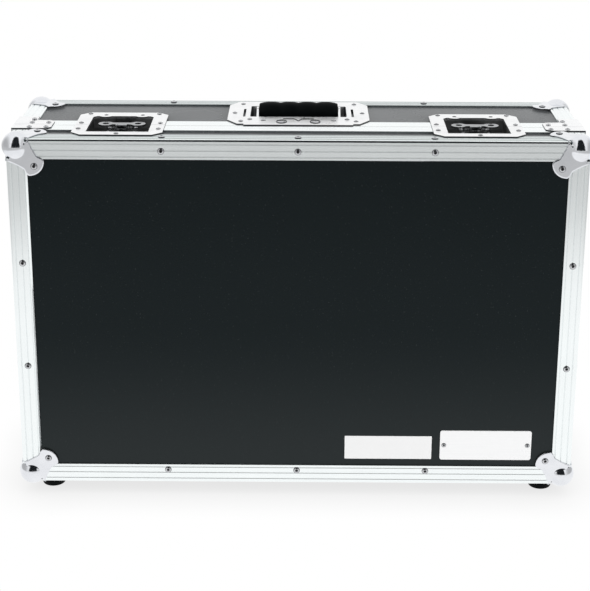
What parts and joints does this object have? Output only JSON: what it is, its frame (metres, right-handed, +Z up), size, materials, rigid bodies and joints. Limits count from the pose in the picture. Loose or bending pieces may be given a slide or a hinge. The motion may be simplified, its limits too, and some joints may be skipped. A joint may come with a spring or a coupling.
{
  "type": "guitar pedal flight case",
  "caption": "Black laminate flight case with aluminium edges, steel ball corners, hinged lid, recessed butterfly latches and a sprung recess handle.",
  "frame": {"origin": "on the floor, in the middle under the feet", "axes": "+X right along the length, +Y from the lid to the base's back, +Z up towards the handle"},
  "size_m": [0.7124, 0.2202, 0.484],
  "materials": {
    "laminate": "phenolic laminate with a fine texture",
    "aluminium": "mill finish, long rolled lines",
    "ball_steel": "bright zinc plate",
    "plate_steel": "bright zinc plate",
    "latch_steel": "bright zinc plate",
    "rivet_steel": "plain steel",
    "spring_steel": "dark spring wire",
    "rubber": "matt black",
    "foam": "open cell foam, stands for light polyurethane foam",
    "name_plate": "satin silver",
    "label": "white paper label"
  },
  "bodies": {
    "base": {"base_back_edge_angles": "aluminium", "base_back_panel": "laminate", "base_ball_corners": "ball_steel", "base_bottom_panel": "laminate", "base_brace_screws": "rivet_steel", "base_corner_angles": "aluminium", "base_corner_braces": "plate_steel", "base_corner_rivets": "rivet_steel", "base_edge_rivets": "rivet_steel", "base_feet": "rubber", "base_floor_foam": "foam", "base_foot_screws": "rivet_steel", "base_left_panel": "laminate", "base_right_panel": "laminate", "base_tongue_extrusions": "aluminium", "base_top_panel": "laminate", "base_wall_foam": "foam", "handle_dish": "plate_steel", "handle_rivets": "rivet_steel", "handle_springs": "spring_steel", "hinge_base_leaves": "plate_steel", "hinge_base_screws": "rivet_steel", "hinge_pins": "plate_steel", "latch_beds": "plate_steel", "latch_rivets": "rivet_steel", "left_latch_dish": "plate_steel", "right_latch_dish": "plate_steel"},
    "lid": {"blank_label": "label", "hinge_lid_leaves": "plate_steel", "hinge_lid_screws": "rivet_steel", "keeper_bars": "plate_steel", "keeper_rivets": "rivet_steel", "left_keeper_dish": "plate_steel", "lid_ball_corners": "ball_steel", "lid_bottom_panel": "laminate", "lid_brace_screws": "rivet_steel", "lid_corner_angles": "aluminium", "lid_corner_braces": "plate_steel", "lid_corner_rivets": "rivet_steel", "lid_edge_rivets": "rivet_steel", "lid_feet": "rubber", "lid_foam": "foam", "lid_foot_screws": "rivet_steel", "lid_front_edge_angles": "aluminium", "lid_front_panel": "laminate", "lid_left_panel": "laminate", "lid_right_panel": "laminate", "lid_slot_extrusions": "aluminium", "lid_top_panel": "laminate", "name_plate": "name_plate", "name_plate_screws": "rivet_steel", "right_keeper_dish": "plate_steel"},
    "handle": {"handle_bail": "plate_steel", "handle_grip": "rubber"},
    "left_spindle": {"left_latch_spindle": "latch_steel"},
    "left_wing": {"left_latch_wing": "latch_steel"},
    "left_hook": {"left_latch_hook": "latch_steel"},
    "right_spindle": {"right_latch_spindle": "latch_steel"},
    "right_wing": {"right_latch_wing": "latch_steel"},
    "right_hook": {"right_latch_hook": "latch_steel"}
  },
  "joints": [
    {"name": "lid_hinge", "type": "hinge", "parent": "base", "child": "lid", "pos_m": [0, -0.0352, 0.0132], "axis": [1, 0, 0], "range_deg": [0, 105]},
    {"name": "handle_swing", "type": "hinge", "parent": "base", "child": "handle", "pos_m": [0, 0.015, 0.462], "axis": [1, 0, 0], "range_deg": [0, 69.5], "stiffness_Nm_per_rad": 0.2},
    {"name": "left_latch_turn", "type": "hinge", "parent": "base", "child": "left_spindle", "pos_m": [-0.22, -0.0255, 0.46], "axis": [0, 0, 1], "range_deg": [0, 180]},
    {"name": "left_wing_fold", "type": "hinge", "parent": "left_spindle", "child": "left_wing", "pos_m": [-0.22, -0.0255, 0.4668], "axis": [1, 0, 0], "range_deg": [0, 90]},
    {"name": "left_hook_slide", "type": "slide", "parent": "base", "child": "left_hook", "axis": [0, -1, 0], "range_m": [0, 0.006]},
    {"name": "right_latch_turn", "type": "hinge", "parent": "base", "child": "right_spindle", "pos_m": [0.22, -0.0255, 0.46], "axis": [0, 0, 1], "range_deg": [0, 180]},
    {"name": "right_wing_fold", "type": "hinge", "parent": "right_spindle", "child": "right_wing", "pos_m": [0.22, -0.0255, 0.4668], "axis": [1, 0, 0], "range_deg": [0, 90]},
    {"name": "right_hook_slide", "type": "slide", "parent": "base", "child": "right_hook", "axis": [0, -1, 0], "range_m": [0, 0.006]}
  ],
  "couplings": [
    {"joint": "left_latch_turn", "follows": "left_hook_slide", "rad_per_m": 523.59},
    {"joint": "right_latch_turn", "follows": "right_hook_slide", "rad_per_m": 523.59}
  ]
}
